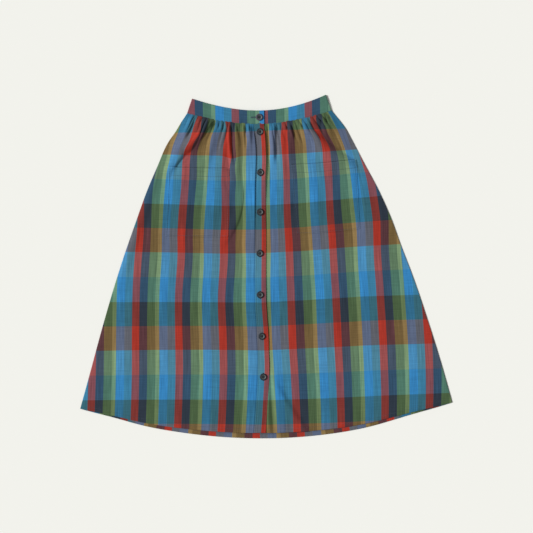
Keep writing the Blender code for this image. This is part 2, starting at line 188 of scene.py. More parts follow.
def ripple(across, along, seed):
    """Uneven waves between -1 and 1: a 64 by 64 lattice of seeded heights, joined smoothly."""
    lattice = np.random.default_rng(seed).uniform(-1, 1, (64, 64))
    across, along = np.broadcast_arrays(np.asarray(across, float), np.asarray(along, float))
    column, row = np.floor(across).astype(int), np.floor(along).astype(int)
    fx, fy = ease(across - column, 0, 1), ease(along - row, 0, 1)
    near = lattice[row % 64, column % 64] * (1 - fx) + lattice[row % 64, (column + 1) % 64] * fx
    far = lattice[(row + 1) % 64, column % 64] * (1 - fx) + lattice[(row + 1) % 64, (column + 1) % 64] * fx
    return near * (1 - fy) + far * fy


def half_width(side, t):
    """Distance from the button line to the side edge, a share t down the panel."""
    return through(SIDE_EDGE, 1 if side < 0 else 2, np.asarray(t) * SIDE_EDGE[-1][0])


def lay_out(side, x, t, seam_y, hem_y):
    """y of points at x, a share t down: rows bow up as the square of the share across,
    and the hem has its own small rises."""
    seam_rise = SIDE_SEAM_Y - seam_y
    hem_rise = SIDE_HEM_Y - hem_y
    across = np.abs(x) / half_width(side, t)
    even = seam_y + (hem_y - seam_y) * t + (seam_rise + (hem_rise - seam_rise) * t) * across ** 2
    return even + through(HEM_RISE, 1, x) * np.clip(t, 0, 1) ** 6


def hung(table, reach, y):
    """A table's value at height y and a reach of -1 to 1 across, straight from third to third."""
    total = 0
    for third in range(7):
        total = total + np.clip(1 - np.abs(3 * reach + 3 - third), 0, 1) * through(table, third + 1, y)
    return total


def weft_place(x, y, half):
    """Repeats of the weft down from the first red stripe, less its rise at the sides."""
    return (FIRST_WEFT_Y - y + hung(WEFT_RISE, x / half, y)) / WEFT_REPEAT


def squeezed(down):
    """Gathers are pressed together in the waist seam and spring up below it."""
    return SEAM_SQUEEZE + (1 - SEAM_SQUEEZE) * ease(down, 0, SQUEEZE_LENGTH)


def linear(hex_colour):
    """An sRGB hex colour as the linear values that a shader takes."""
    srgb = np.array([int(hex_colour[k:k + 2], 16) / 255 for k in (1, 3, 5)])
    values = np.where(srgb <= 0.04045, srgb / 12.92, ((srgb + 0.055) / 1.055) ** 2.4)
    return (*values.tolist(), 1.0)


def add_node(tree, kind, settings=None, inputs=None):
    """One shader node, with its settings, and its inputs as values or as sockets to link."""
    node = tree.nodes.new("ShaderNode" + kind)
    for name, value in (settings or {}).items():
        setattr(node, name, value)
    for name, value in (inputs or {}).items():
        if isinstance(value, bpy.types.NodeSocket):
            tree.links.new(value, node.inputs[name])
        else:
            node.inputs[name].default_value = value
    return node


def new_material(name):
    """A material, its node tree and its main shader."""
    made = bpy.data.materials.new(name)
    made.use_nodes = True
    return made, made.node_tree, made.node_tree.nodes["Principled BSDF"]


def new_object(name, data):
    """An object for a mesh, light or camera, linked to the scene."""
    made = bpy.data.objects.new(name, data)
    bpy.context.scene.collection.objects.link(made)
    return made


def stripes(tree, place, table):
    """A ramp of hard-edged stripes, repeated along place."""
    share = add_node(tree, "Math", {"operation": "FRACT"}, {0: place})
    ramp = add_node(tree, "ValToRGB", inputs={"Fac": share.outputs[0]})
    ramp.color_ramp.interpolation = "CONSTANT"
    while len(ramp.color_ramp.elements) < len(table):
        ramp.color_ramp.elements.new(0.5)
    for element, (_, start, _) in zip(ramp.color_ramp.elements, table):
        element.position = start
    for element, (_, _, colour) in zip(ramp.color_ramp.elements, table):
        element.color = linear(colour)
    return ramp.outputs["Color"]


def madras_cotton():
    """Woven madras cotton: dull, with uneven dyed yarns that read as fine lines."""
    made, tree, shader = new_material("madras_cotton")
    place = add_node(tree, "UVMap", {"uv_map": "weave"})
    across = add_node(tree, "SeparateXYZ", inputs={0: place.outputs["UV"]})
    warp = stripes(tree, across.outputs["X"], WARP_STRIPES)
    shaded = stripes(tree, across.outputs["Y"], WEFT_SHADES)
    weft = stripes(tree, across.outputs["Y"], WEFT_STRIPES)
    cells = add_node(tree, "VectorMath", {"operation": "MULTIPLY_ADD"}, {0: warp, 1: shaded, 2: weft})

    lines = []
    shade = CLOTH_BRIGHTNESS
    for scale, detail, low, high in YARN_LINES:
        yarns = add_node(tree, "Mapping", inputs={"Vector": place.outputs["UV"], "Scale": scale})
        noise = {"Vector": yarns.outputs[0], "Scale": 1.0, "Detail": detail}
        lines.append(add_node(tree, "TexNoise", inputs=noise).outputs["Fac"])
        spread = {"Value": lines[-1], "From Min": 0.3, "From Max": 0.7, "To Min": low, "To Max": high}
        toned = add_node(tree, "MapRange", inputs=spread)
        shade = add_node(tree, "Math", {"operation": "MULTIPLY"}, {0: shade, 1: toned.outputs[0]}).outputs[0]
    toned = add_node(tree, "VectorMath", {"operation": "SCALE"}, {0: cells.outputs[0], "Scale": shade})
    tree.links.new(toned.outputs[0], shader.inputs["Base Color"])

    # The same yarns stand a little proud of the cloth
    height = add_node(tree, "Math", {"operation": "ADD"}, {0: lines[0], 1: lines[1]})
    proud = {"Height": height.outputs[0], "Strength": 0.35, "Distance": 0.0003}
    bump = add_node(tree, "Bump", inputs=proud)
    tree.links.new(bump.outputs["Normal"], shader.inputs["Normal"])
    shader.inputs["Roughness"].default_value = 0.88
    shader.inputs["Specular IOR Level"].default_value = 0.15
    shader.inputs["Sheen Weight"].default_value = 0.06
    shader.inputs["Sheen Roughness"].default_value = 0.5
    return made


def grid_faces(rows, columns, closed=False):
    """Quads of a grid whose rows run down and whose columns run to +x, facing up."""
    numbers = np.arange(rows * columns).reshape(rows, columns)
    if closed:
        numbers = np.concatenate([numbers, numbers[:, :1]], 1)
    corners = (numbers[:-1, :-1], numbers[1:, :-1], numbers[1:, 1:], numbers[:-1, 1:])
    return np.stack(corners, -1).reshape(-1, 4)


def add_mesh(name, points, faces, material, uv=None):
    """A smooth mesh of points in mm, moved to the frame; uv is in repeats of the check."""
    points = np.asarray(points, float).reshape(-1, 3) * MM + (BUTTON_LINE, HEM_LINE, 0)
    mesh = bpy.data.meshes.new(name)
    mesh.from_pydata(points.tolist(), [], [list(face) for face in faces])
    mesh.polygons.foreach_set("use_smooth", np.ones(len(mesh.polygons), bool))
    if uv is not None:
        corners = np.empty(len(mesh.loops), int)
        mesh.loops.foreach_get("vertex_index", corners)
        layer = mesh.uv_layers.new(name="weave")
        layer.data.foreach_set("uv", np.asarray(uv, float).reshape(-1, 2)[corners].ravel())
    mesh.materials.append(material)
    piece = new_object(name, mesh)
    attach(piece, "root")
    return piece


def add_cloth(name, x, y, z, u, v, material, thickness=CLOTH):
    """A sheet of cloth: a grid of points with the cloth's thickness about it."""
    x, y, z, u, v = np.broadcast_arrays(x, y, z, u, v)
    faces = grid_faces(*x.shape).tolist()
    piece = add_mesh(name, np.stack([x, y, z], -1), faces, material, np.stack([u, v], -1))
    wall = piece.modifiers.new("cloth", "SOLIDIFY")
    wall.thickness = thickness * MM
    wall.offset = 0
    wall.use_even_offset = False
    return piece


def turned_hem(x, y, z, u, v, under):
    """Adds rows that bend round the hem's fold and run back along the other face."""
    angle = np.radians(np.array([35, 70, 105, 140, 180]))[:, None]
    bend_y = y[-1] - HEM_BEND * np.sin(angle)
    bend_z = z[-1] + (-1 if under else 1) * HEM_BEND * (1 - np.cos(angle))
    run = np.array([1.5, 3.5, 6.0, 8.5, HEM_TURNING])[:, None]
    lean = (x[-2] - x[-1]) / (y[-2] - y[-1])
    last_z = z[-1] + (-2 if under else 2) * HEM_BEND
    rows_y = np.concatenate([y, bend_y, y[-1] + run])
    rows_z = np.concatenate([z, bend_z, last_z + 0 * run])
    rows_x = np.concatenate([x, x[-1] + 0 * bend_y, x[-1] + lean * run])
    rows_u = np.concatenate([u, u[-1] + 0 * bend_y, u[-1] + 0 * run])
    path = np.concatenate([HEM_BEND * angle, math.pi * HEM_BEND + run]) / WEFT_REPEAT
    rows_v = np.concatenate([v, v[-1] + path + 0 * v[-1]])
    return rows_x, rows_y, rows_z, rows_u, rows_v


def row_shares(count):
    """Shares of a panel's length, from just above the seam and closer at the waist: an
    exponential spacing."""
    q = np.linspace(0, 1, count)
    return ((np.exp(q) - 1) / (math.e - 1) * (1 + ABOVE_SEAM) - ABOVE_SEAM)[:, None]


def swing(number, mean, size, step, start):
    """A share that differs from one gather to the next, by a sine of its number."""
    return mean + size * np.sin(step * number + start)


def gather_room(down):
    """Height that the back's gathers take up below the front, a bell curve down from the seam."""
    return BACK_RIDGE * np.exp(-(down / BACK_ROOM_LENGTH) ** 2)


def back_surface(share, t):
    """Plan, height and weave of the back, for shares across from the viewer's left."""
    down = t * (BACK_SEAM_Y - BACK_HEM_Y)
    reach = 2 * share - 1
    half = np.where(reach < 0, half_width(-1, t), half_width(1, t))
    x = half * reach
    y = np.where(
        reach < 0,
        lay_out(-1, x, t, BACK_SEAM_Y, BACK_HEM_Y),
        lay_out(1, x, t, BACK_SEAM_Y, BACK_HEM_Y),
    )
    count = share * BACK_GATHERS + BACK_WANDER * ripple(share * BACK_GATHERS, down / 40, 11)
    number = np.clip(np.floor(count), 0, BACK_GATHERS - 1)
    dome = np.sin(np.pi * np.clip(count - number, 0, 1)) ** BACK_ROUNDNESS
    height = BACK_RIDGE * swing(number, *BACK_HEIGHT_SWING)
    length = BACK_RIDGE_LENGTH * swing(number, *BACK_LENGTH_SWING)
    sides = ease(1 - np.abs(reach), 0, SIDE_FADE)
    folds = height * (1 - dome) * sides * squeezed(down) * np.exp(-(down / length) ** 2)
    u = -(x - BACK_RED_STRIPE_X) / half * through(BACK_CLOTH, 1, t * SIDE_EDGE[-1][0])
    crinkle = BACK_CRINKLE * (1 + ripple(u * 12, y / 60, 12)) * sides * ease(1 - t, 0, 0.02)
    z = CLOTH / 2 + folds + crinkle
    z = BACK_SEAM_LEVEL + (z - BACK_SEAM_LEVEL) * ease(down, -3, 10)
    return x, y, z, u, weft_place(x, y, half)


cotton = madras_cotton()
back_t = row_shares(140)
back_share = np.linspace(0, 1, 281)[None, :]
back_grid = np.broadcast_arrays(*back_surface(back_share + 0 * back_t, back_t + 0 * back_share))
back = add_cloth("back_cloth", *turned_hem(*back_grid, under=False), cotton)
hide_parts("back")


# Fronts. Two widths of the same cotton, gathered at the waist and cut wider to the
# hem, which is turned under 11 mm and sewn. The wearer's right front carries the
# upper placket and lies on the left one there. Both side edges meet the back's.

FRONT_SEAM_Y = 769.0
FRONT_HEM_Y = 13.0
FRONT_LENGTH = FRONT_SEAM_Y - FRONT_HEM_Y
UNDERLAP_HIDDEN = 3.0
SEAM_LEVEL = 3.0
PUFF = 3.2
PUFF_LENGTH = 95.0
GATHER_RISE = 1.2
GATHER_WANDER = 0.3
GATHER_LEAN = (0.75, 1.35)
# the power of a ridge's sine at the waist, and how much it grows below
GATHER_ROUNDNESS = (0.55, 0.6)
# how far the weave wavers over a gather, in repeats across and down
WAVER = (0.008, 0.003)
# repeats by which one fold draws the check up, and that fold's x and distance down
CHECK_PULL = 0.028
PULL_X, PULL_DOWN = -68, 85
SMALL_GATHER = 0.7
SMALL_GATHER_LENGTH = 17
DRAPE = 0.7
DRAPE_LENGTH = 250
ROLL = 2.4
CRINKLE = (0.24, 0.14)
HEM_SWELL = 0.35
SIDE_SWELL = 1.4
# how far the cloth sinks at a side edge, and from how far in
RIGHT_SIDE_DROP = (0.6, 10)
LEFT_SIDE_DROP = (0.9, 60)

# down from the waist seam, x of the upper placket's stitched side, x of its free edge
PLACKET = (
    (0, -14, 11),
    (50, -9, 14),
    (161, -12, 12),
    (300, -15, 11),
    (434, -18, 9),
    (529, -14, 13),
    (620, -15, 13),
    (676, -19, 9),
    (758, -26, 2),
)

# x of each gather's valley at the waist seam, height of the next ridge, length
GATHERS_RIGHT = (
    (14, 2.6, 30), (34, 3.0, 30), (47, 3.3, 40), (60, 2.6, 52),
    (75, 3.6, 46), (86, 2.8, 30), (97, 2.2, 24), (109, 2.9, 36), (119, 3.4, 48),
    (128, 3.8, 54), (138, 2.7, 36), (147, 3.0, 42), (157, 2.3, 34), (167, 1.8, 30),
)
GATHERS_LEFT = (
    (8, 1.4, 26), (19, 2.8, 44), (31, 3.3, 50), (42, 2.4, 30), (53, 2.9, 26),
    (63, 3.4, 38), (75, 3.8, 50), (86, 2.6, 30), (97, 3.0, 34), (107, 3.7, 54),
    (119, 2.5, 40), (130, 3.1, 44), (141, 2.8, 36), (152, 2.3, 32), (165, 1.9, 30),
)

# start down, end down, x at its start, middle and end, height, width to its left and right
CREASES_RIGHT = (
    (-6, 88, -120, -141, -178, 7.4, 20, 10), (50, 165, -164, -201, -236, 3.6, 24, 7),
    (-6, 150, -104, -160, -226, -3.8, 5, 9), (-4, 60, -162, -175.5, -190, 3.6, 8, 4.5),
    (-6, 56, -154, -164, -178.5, -3.6, 3, 5),
    (-4, 44, -146, -156, -168, 1.2, 5, 5), (-6, 92, -75, -76, -73, 2.8, 11, 3.6),
    (-6, 104, -68, -68, -62, -3.8, 2.6, 5), (14, 160, -80, -79.5, -81, -4.4, 8, 4),
    (-4, 60, -37, -35, -34, -2.4, 3, 5), (-2, 48, -24, -24, -24, 1.4, 6, 5),
    (8, 150, -54, -56, -57, 2.0, 10, 8), (4, 118, -103, -120, -140, 2.6, 12, 10),
    (150, 300, -48, -53, -93, 2.6, 16, 6), (150, 300, -42, -47, -88, -2.0, 5, 8),
    (-6, 36, -172, -178, -186, -2.6, 3, 4), (-6, 24, -88, -88, -89, -3.4, 2.4, 3.4),
    (-6, 20, -98, -98, -99, -2.6, 2.2, 3), (-6, 24, -54, -54, -53, -3.2, 2.4, 3.2),
    (-6, 24, -32, -32, -31, -2.8, 2.6, 3.4), (-6, 20, -22, -23, -24, -2.6, 2.2, 3),
    (-6, 26, -107, -109, -112, -2.8, 2.6, 3.6), (130, 280, -100, -114, -128, 1.4, 16, 12),
    (120, 430, -205, -252, -300, 1.2, 24, 20), (420, 700, -120, -135, -150, 0.9, 26, 22),
    (470, 690, -300, -325, -350, 0.9, 28, 22), (330, 640, -45, -52, -60, 0.8, 16, 14),
)
CREASES_LEFT = (
    (-6, 152, 100, 158, 240, 7.8, 24, 16), (-6, 150, 108, 176, 266, -3.0, 8, 10),
    (-6, 40, 106, 120, 134, -3.6, 4, 6),
    (-4, 100, 33, 33, 33, 2.8, 8, 4), (0, 92, 41, 41, 41, -3.2, 3.5, 5),
    (-5, 44, 75, 77, 81, 2.2, 7, 3.4), (-3, 42, 82, 85, 89, -2.8, 3, 5),
    (-4, 54, 149, 162, 180, 3.4, 8, 12), (-6, 84, 20, 21, 21, -5.0, 5, 4),
    (70, 175, 21, 22, 21, -2.4, 5, 4), (8, 160, 56, 56, 57, 2.2, 10, 8),
    (8, 120, 72, 73, 74, 1.6, 9, 8), (-6, 24, 68, 68, 67, -3.0, 2.4, 3.4),
    (-8, 28, 161, 163, 167, -3.4, 3, 4), (-4, 34, 151, 151, 151, -2.6, 3, 4),
    (-6, 22, 171, 172, 174, -2.4, 2.6, 3.4), (-6, 26, 104, 105, 108, -3.4, 2.8, 3.8),
    (-6, 22, 53, 53, 52, -2.8, 2.4, 3.2), (-6, 20, 26, 26, 26, -2.4, 2.4, 3.2),
    (90, 280, 120, 130, 140, 1.3, 16, 13), (130, 430, 210, 255, 300, 1.2, 24, 20),
    (640, 776, 31, 70, 118, 3.4, 18, 5), (600, 774, 2, 7, 14, 3.6, 6, 9), (600, 774, 22, 30, 37, 2.4, 7, 16),
    (420, 700, 150, 170, 190, 0.9, 26, 22), (470, 690, 320, 342, 365, 0.9, 28, 22),
)

# down along the side edge, repeats of cloth out to it on the wearer's right
RIGHT_SIDE_CLOTH = (
    (0, 1.41), (17, 1.45), (91, 1.64), (213, 1.887), (279, 2.13), (360, 2.326), (703, 3.189), (719, 3.23),
)
# down along the side edge, repeats of cloth out to it on the wearer's left
LEFT_SIDE_CLOTH = ((0, 1.66), (22, 1.70), (96, 1.88), (218, 2.11), (365, 2.65), (706, 3.483), (719, 3.52))
# down from the waist seam, repeats from the left front's first red stripe back to the placket
LEFT_INNER_CLOTH = (
    (0, 0.60), (63, 0.535), (333, 0.533), (430, 0.56), (529, 0.54), (620, 0.58), (676, 0.63), (758, 0.712),
)
RIGHT_INNER_CLOTH = 0.745

# Near the waist the folds take up cloth unevenly. These are some of its yarns, in
# repeats, then a row for each distance down with the x where each yarn lies.
RIGHT_YARNS = (0.55, 0.266, 0.085, -0.085, -0.45, -0.734, -0.915, -1.085, -1.26)
RIGHT_YARN_PLACES = (
    (0, -35, -59, -71, -83, -106, -125, -140, -151, -161),
    (20, -34, -60, -71, -82, -110, -129, -142, -159, -169),
    (40, -32, -60, -69, -86, -118, -137, -147, -165, -177),
    (60, -33, -60, -69, -90, -122, -147, -160, -172, -186),
    (80, -34, -59, -69, -92, -124, -153, -168, -183, -195),
    (105, -35, -62, -74, -94, -126, -155, -172, -190, -202),
    (140, -35, -60, -75, -96, -129, -156, -174, -193, -212),
    (180, -36, -62, -76, -95, -132, -160, -177, -196, -216),
    (230, -36, -61, -77, -96, -137, -165, -182, -202, -221),
    (290, -38, -63, -81, -101, -141, -168, -187, -206, -226),
)
LEFT_YARNS = (-0.45, -0.085, 0.085, 0.266, 0.55, 0.74, 0.915, 1.085, 1.266)
LEFT_YARN_PLACES = (
    (0, 25, 55, 69, 82, 104, 117, 125, 140, 153),
    (20, 24, 53, 69, 83, 107, 118, 127, 142, 158),
    (40, 24, 52, 69, 85, 111, 127, 139, 151, 165),
    (60, 25, 53, 70, 86, 114, 134, 149, 162, 175),
    (80, 24, 54, 70, 87, 115, 136, 153, 171, 184),
    (105, 24, 55, 71, 88, 116, 136, 154, 174, 191),
    (140, 23, 56, 72, 90, 119, 139, 157, 177, 195),
    (180, 23, 56, 72, 91, 120, 141, 160, 178, 197),
    (230, 23, 56, 73, 92, 121, 141, 161, 179, 198),
    (290, 23, 58, 76, 95, 124, 144, 164, 182, 202),
)
YARN_BLEND = (290, 430)
# shares down a front between which its rows are closer, and the dip's depth there
MOUTH_ROWS = (0.136, 0.174)
MOUTH_GAP = 1.7

# x and y of each pocket mouth's inner end, then of its outer end
RIGHT_MOUTH = (-76, 662, -223, 668)
LEFT_MOUTH = (76, 668, 236, 678)


def mouth_gap(side, x, y):
    """A narrow dip just above a pocket's mouth, where the pocket stands off the front."""
    inner_x, inner_y, outer_x, outer_y = RIGHT_MOUTH if side < 0 else LEFT_MOUTH
    share = (x - inner_x) / (outer_x - inner_x)
    above = y - (inner_y + (outer_y - inner_y) * share ** 2)
    inside = ease(share, 0.0, 0.03) * ease(1 - share, 0.0, 0.03)
    return MOUTH_GAP * inside * np.exp(-((above - 0.7) / 0.8) ** 2)


def warp_place(side, x, t, down):
    """Repeats of the warp at x: straight from each yarn to the next, evenly lower down."""
    side_down = t * SIDE_EDGE[-1][0]
    outer = side * half_width(side, t)
    if side < 0:
        inner, first = through(PLACKET, 1, down), RIGHT_INNER_CLOTH
        last = -through(RIGHT_SIDE_CLOTH, 1, side_down)
        yarns, places = RIGHT_YARNS, RIGHT_YARN_PLACES
    else:
        inner, first = through(PLACKET, 2, down), -through(LEFT_INNER_CLOTH, 1, down)
        last = through(LEFT_SIDE_CLOTH, 1, side_down)
        yarns, places = LEFT_YARNS, LEFT_YARN_PLACES
    even = first + (last - first) * (x - inner) / (outer - inner)
    knots = [inner] + [through(places, k + 1, down) for k in range(len(yarns))] + [outer]
    values = [first, *yarns, last]
    folded = values[0] + 0 * even
    for k in range(len(knots) - 1):
        share = (x - knots[k]) / (knots[k + 1] - knots[k])
        share = np.clip(share, 0 if k else None, 1 if k < len(knots) - 2 else None)
        folded = folded + share * (values[k + 1] - values[k])
    return folded + (even - folded) * ease(down, *YARN_BLEND)


def front_inner(side, down):
    """x of a front's inner edge, just inside the placket's seam or below its free edge."""
    if side < 0:
        return through(PLACKET, 1, down) + 1.0
    return through(PLACKET, 2, down) - UNDERLAP_HIDDEN


def crease_height(creases, x, down):
    """Sum of ridges and valleys. Each runs down a parabola through its three x, with a bell
    across a ridge and a cusp across a valley, of its own width on either side."""
    total = np.zeros(np.broadcast(x, down).shape)
    for first, last, start_x, middle_x, end_x, height, left, right in creases:
        s = np.clip((down - first) / (last - first), -0.15, 1.15)
        line = start_x * (2 * s * s - 3 * s + 1) + middle_x * (4 * s - 4 * s * s) + end_x * (2 * s * s - s)
        slope = (start_x * (4 * s - 3) + middle_x * (4 - 8 * s) + end_x * (4 * s - 1)) / (last - first)
        off = (x - line) / np.sqrt(1 + slope ** 2)
        across = np.abs(off) / np.where(off < 0, left, right)
        ends = ease(s, -0.1, 0.2) * ease(1 - s, -0.1, 0.3)
        total += height * ends * np.exp(-across ** (2.0 if height > 0 else 1.3))
    return total


def front_surface(side, x, t):
    """y, height and weave of a front at x, a share t down it."""
    down = t * FRONT_LENGTH
    seed = 30 if side < 0 else 40
    gathers = np.array(GATHERS_RIGHT if side < 0 else GATHERS_LEFT, float)
    creases = CREASES_RIGHT if side < 0 else CREASES_LEFT
    inner = front_inner(side, down)
    outer = side * half_width(side, t)
    share = (x - inner) / (outer - inner)
    from_inner = np.abs(x - inner)
    from_outer = np.abs(outer - x)

    seam_inner, seam_outer = abs(float(front_inner(side, 0.0))), float(half_width(side, 0.0))
    valleys = (np.append(gathers[:, 0], seam_outer) - seam_inner) / (seam_outer - seam_inner)
    valleys[0] = 0
    count = np.interp(share, valleys, np.arange(len(valleys)))
    wander = GATHER_WANDER * ripple(count * 0.8, down / 26, seed)
    count = count + wander * ease(down, 2, 30) * ease(count, 0, 1)
    number = np.clip(np.floor(count), 0, len(gathers) - 1).astype(int)
    lean = np.random.default_rng(seed + 1).uniform(*GATHER_LEAN, len(gathers))[number]
    place = np.clip(count - number, 0, 1) ** lean
    roundness = GATHER_ROUNDNESS[0] + GATHER_ROUNDNESS[1] * ease(down, 0, 60)
    fade = np.exp(-(down / gathers[number, 2]) ** 2)
    ridge = GATHER_RISE * gathers[number, 1] * np.sin(np.pi * place) ** roundness * fade
    small = SMALL_GATHER * np.abs(np.sin(np.pi * (2.6 * count + ripple(count, down / 20, seed + 2)))) ** 0.7
    small = small * np.exp(-(down / SMALL_GATHER_LENGTH) ** 2)
    puff = PUFF * ease(down, -4, 14) * np.exp(-(down / PUFF_LENGTH) ** 2)
    if side > 0:
        puff = puff * (1 - 0.8 * ease(share, 0.5, 0.85))
    drape = DRAPE * (1 + ripple(count * 0.6, down / 300, seed + 3)) * np.exp(-(down / DRAPE_LENGTH) ** 2)
    edges = ease(1 - share, 0, 0.13) * ease(from_inner, 3, 16)
    if side > 0:
        edges = ease(1 - share, 0, 0.13) * (0.45 + 0.55 * ease(from_inner, 2, 14 - 8 * ease(down, 500, 620)))
    loose = np.maximum(ridge + small + puff + drape + crease_height(creases, x, down), 0) * edges
    if side < 0:
        roll = ROLL * np.exp(-(np.maximum(from_inner - 3.2, 0) / 7) ** 2) * ease(from_inner, 1.2, 3.2)
        roll = roll * ease(down, 6, 30) * ease(-down, -330, -180)
    else:
        roll = 0
    crinkle = CRINKLE[0] * ripple(x / 15, down / 95, seed + 4)
    crinkle = crinkle + CRINKLE[1] * ripple(x / 5.5, down / 34, seed + 5)
    drop, drop_width = RIGHT_SIDE_DROP if side < 0 else LEFT_SIDE_DROP
    base = 1.5 * WALL + SEAM_GAP - drop * (1 - ease(from_outer, 0, drop_width))
    room = gather_room(down) * ease(1 - np.abs(x) / half_width(side, t), 0, SIDE_FADE)
    z = base + room + loose + roll + crinkle * ease(from_outer, 2, 30) * ease(from_inner, 0, 12)
    z = z + HEM_SWELL * ease(t, 0.96, 0.985)
    seam = SEAM_LEVEL
    if side < 0:
        swell = SIDE_SWELL * np.exp(-((from_outer - 10) / 11) ** 2)
        z = z + swell * ease(down, 100, 200) * ease(-down, -520, -350)
        z = z + (WALL + SEAM_GAP) * (1 - ease(from_inner, 17, 42)) - 0.9 * (1 - ease(from_inner, 1.2, 3.6))
        seam = SEAM_LEVEL + 1.6 * (1 - ease(from_inner, 2, 16))
    seam = seam + 0.3 * (np.sin(np.pi * place) - 0.5)
    z = seam + (z - seam) * ease(down, -4, 13)
    z = CLOTH * 1.5 + (z - CLOTH * 1.5) * np.sqrt(1 - (1 - ease(from_outer, -1.5, 3.5)) ** 2)

    y = lay_out(side, x, t, FRONT_SEAM_Y, FRONT_HEM_Y)
    z = z - mouth_gap(side, x, y)
    waver = np.sin(2 * np.pi * place) * fade * edges
    drift = hung(WARP_DRIFT, x / half_width(side, t), y) * ease(from_inner, 0, 20)
    u = warp_place(side, x - drift, t, down) + WAVER[0] * side * waver
    v = weft_place(x, y, half_width(side, t)) + WAVER[1] * waver
    if side < 0:
        v = v - CHECK_PULL * np.exp(-((x - PULL_X) / 17) ** 2 - ((down - PULL_DOWN) / 34) ** 2)
    return y, z, u, v


def add_front(name, side):
    """One front: a grid of points from the placket to the side edge, with its hem turned."""
    t = np.unique(np.concatenate([row_shares(150)[:, 0], np.linspace(*MOUTH_ROWS, 34)]))[:, None]
    q = np.linspace(0, 1, 221)[None, :]
    share = q - 0.07 * np.sin(2 * np.pi * q)
    share = share[:, ::-1] if side < 0 else share
    inner = front_inner(side, t * FRONT_LENGTH)
    x = inner + (side * half_width(side, t) - inner) * share
    y, z, u, v = front_surface(side, x, t + 0 * x)
    return add_cloth(name, *turned_hem(x, y, z, u, v, under=True), cotton)


front_right = add_front("front_right_cloth", -1)
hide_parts("front_right")
front_left = add_front("front_left_cloth", 1)
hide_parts("front_left")


# Plackets. Straight bands of the same cotton folded double, the upper one stitched
# down both sides and lying on the lower one, which is hidden when buttoned.

PLACKET_WIDTH = 25.0
PLACKET_THICKNESS = 0.66
# repeats of cloth at its left edge, and across it
PLACKET_CLOTH = (0.75, 0.285)
PLACKET_STITCHES = (0.115, 0.885)
PLACKET_GROOVE = 0.74
PLACKET_CREST = 1.13
UPPER_EDGE_LIFT = 2.9
LOWER_EDGE_LIFT = 0.5
PLACKET_DIP = 0.25
PLACKET_WAVE = 0.22
PLACKET_SEAM_RISE = 1.5
# share across and share up of the folded strip, with a groove at each stitch row
PLACKET_OUTLINE = (
    (0.0, 0.62), (0.006, 0.9), (0.02, 1.0), (0.06, 1.0), (0.095, 0.97), (0.115, 0.74), (0.135, 0.97),
    (0.3, 1.1), (0.5, 1.13), (0.7, 1.1), (0.865, 0.97), (0.885, 0.74), (0.905, 0.97),
    (0.94, 1.0), (0.98, 1.0), (0.994, 0.86), (1.0, 0.5), (0.994, 0.14), (0.98, 0.0), (0.7, 0.0),
    (0.3, 0.0), (0.02, 0.0), (0.006, 0.1), (0.0, 0.38),
)


def placket_height(down, share):
    """The upper placket's underside: lifted at the waist, and where its free edge stands off."""
    room = gather_room(down) * ease(down, 0, 14)
    lower_edge = LOWER_EDGE_LIFT * ease(down, 330, 430) * ease(-down, -680, -560)
    upper_edge = UPPER_EDGE_LIFT * ease(down, 4, 24) * ease(-down, -210, -80)
    lift = share ** 2 * (lower_edge + upper_edge)
    lift = lift - PLACKET_DIP * ease(down, 190, 260) * ease(-down, -680, -600)
    wave = PLACKET_WAVE * ripple(down / 42 + 0 * share, share * 1.5 + 0 * down, 51)
    band = PLACKET_SEAM_RISE * (1 - ease(down, 0, 20))
    return 2 * (WALL + SEAM_GAP) + room + band + lift + wave


def add_placket(name, upper):
    """A placket: a strip folded double at its free edge, carried down the button line."""
    ends = np.array([0, 0.1, 0.35, 0.8])
    down = np.concatenate([np.linspace(-1.5, FRONT_LENGTH - 2, 228), FRONT_LENGTH - ends[::-1]])[:, None]
    across, up = np.array(PLACKET_OUTLINE).T[:, None, :]
    if upper:
        left, right = through(PLACKET, 1, down), through(PLACKET, 2, down)
        left = left + 0.25 * ripple(down / 24, 0 * down, 52)
        right = right + 0.35 * ripple(down / 31, 0 * down, 53)
        floor_z = placket_height(down, across)
    else:
        right = through(PLACKET, 2, down) - UNDERLAP_HIDDEN - SEAM_GAP
        left = right - PLACKET_WIDTH
        floor_z = WALL + SEAM_GAP + gather_room(down)
    closed = 0.5 + (up - 0.5) * np.sqrt(1 - (1 - ease(FRONT_LENGTH - down, 0, 0.8)) ** 2)
    x = left + (right - left) * across
    t = down / FRONT_LENGTH
    y = lay_out(1, x, t, FRONT_SEAM_Y, FRONT_HEM_Y)
    z = floor_z + CLOTH / 2 + PLACKET_THICKNESS * closed
    u = PLACKET_CLOTH[0] + PLACKET_CLOTH[1] * across
    return add_cloth(name, x, y, z, u, weft_place(x, y, half_width(1, t)), cotton, 0.9 * CLOTH)


placket_left = add_placket("placket_left_cloth", False)
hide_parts("placket_left")
placket_right = add_placket("placket_right_cloth", True)
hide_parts("placket_right")


# Waistband. One strip of the same cotton folded double over interfacing, about 33 mm
# wide, sewn over the gathers and stitched near both edges. Its ends lap at the button.

BAND_TOP_Y = 802.0
BAND_TOP_SIDE_Y = 836.0
BAND_HALF_WIDTH = (176.5, 164.0)
BAND_LEVELS = (0.9, 3.0, 5.0)
BAND_TURN = 1.05
BAND_TURN_WIDTH = 0.4
BAND_LAP = (12.0, -13.0)
BAND_RAMP = (-15.0, -30.0)
# x where a red stripe starts, on the viewer's left of the lap and on the right
BAND_RED_X = (-59.0, 12.0)
BAND_BACK_REPEATS = 6
# repeats of the weft at the band's lower edge, and up to its top
BAND_WEFT = (0.69, 0.135)
BAND_STITCHES = (0.06, 0.94)
BAND_GROOVE = 0.32
# stretches of the band's path, numbered from 0 at the lap's end
STRETCHES = 7
LEFT_TURN, ROUND_BACK, RIGHT_TURN = 3, 4, 5
